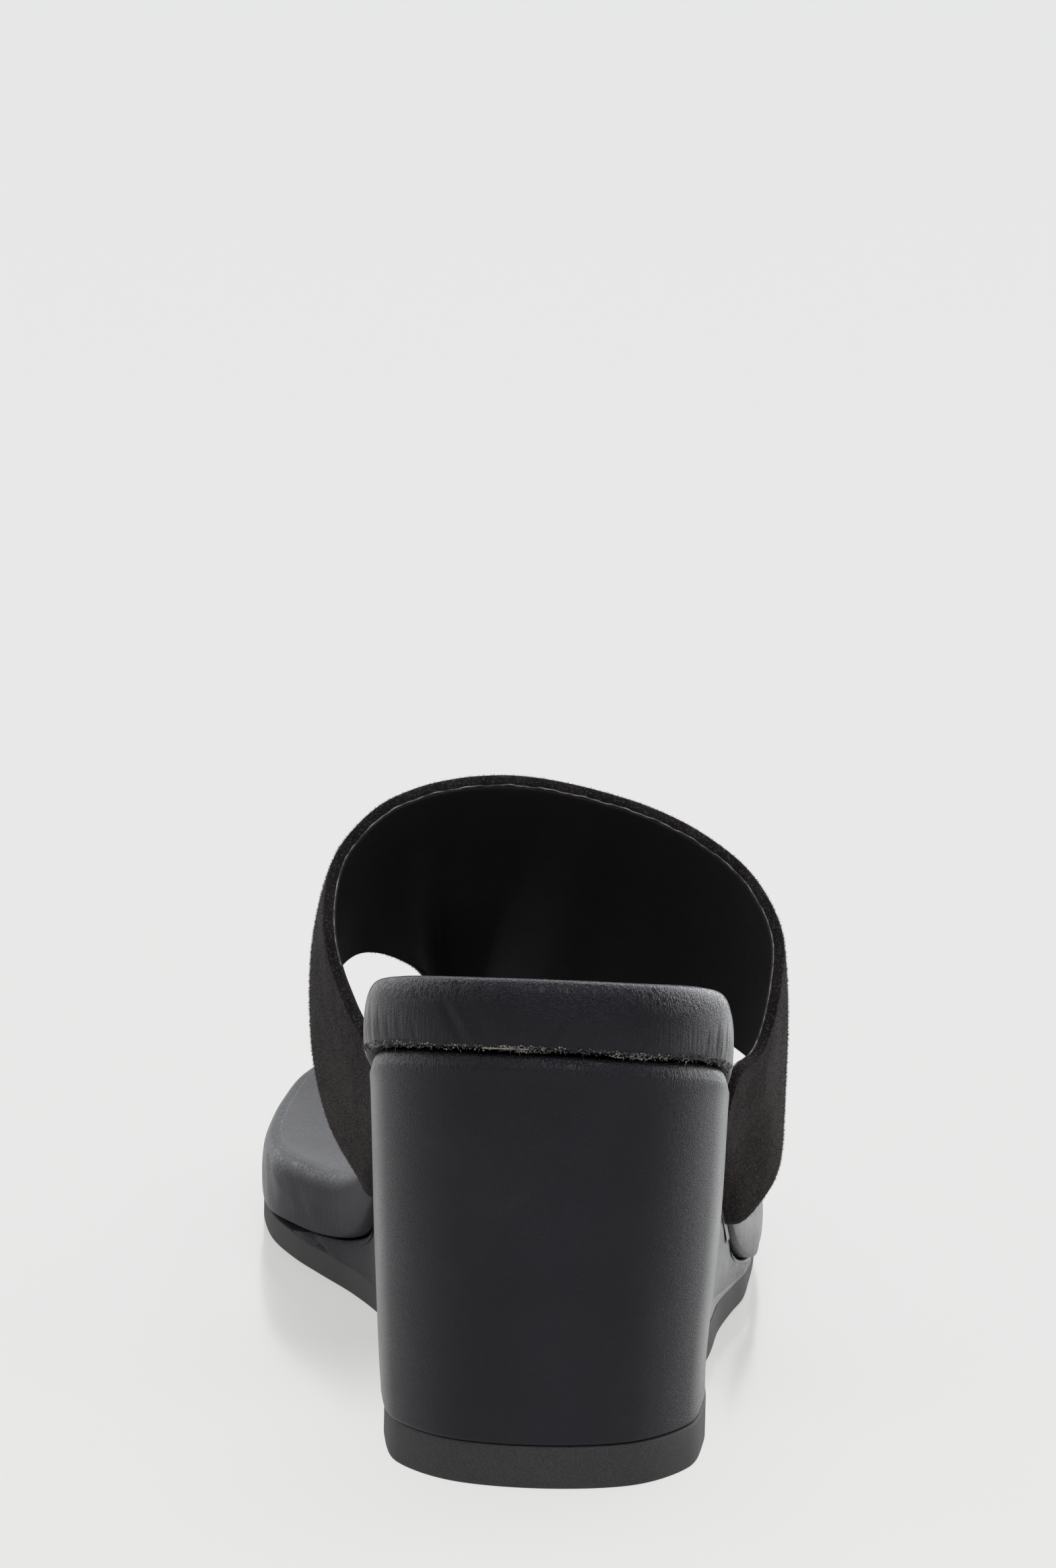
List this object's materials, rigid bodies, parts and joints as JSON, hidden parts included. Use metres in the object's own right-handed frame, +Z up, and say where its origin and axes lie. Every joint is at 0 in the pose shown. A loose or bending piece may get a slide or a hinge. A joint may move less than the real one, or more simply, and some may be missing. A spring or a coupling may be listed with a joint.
{
  "type": "toe post wedge sandal",
  "caption": "Toe post sandal with a wide suede instep band, padded leather footbed, leather-wrapped wedge heel and rubber outsole.",
  "frame": {"origin": "on the floor, at the middle of the shoe's bounding box", "axes": "+Z up, +Y from heel to toe, +X to the outer side of a right foot"},
  "size_m": [0.098, 0.243, 0.1014],
  "materials": {
    "outsole_rubber": "matt black rubber",
    "wedge_leather": "smooth black leather, low sheen",
    "footbed_leather": "smooth black leather, low sheen",
    "upper_suede": "black suede, napped, with a smooth lining",
    "post_leather": "rolled black leather"
  },
  "bodies": {
    "root": {"outsole": "outsole_rubber", "wedge": "wedge_leather", "footbed": "footbed_leather", "upper": "upper_suede", "toe_post": "post_leather"}
  },
  "joints": []
}
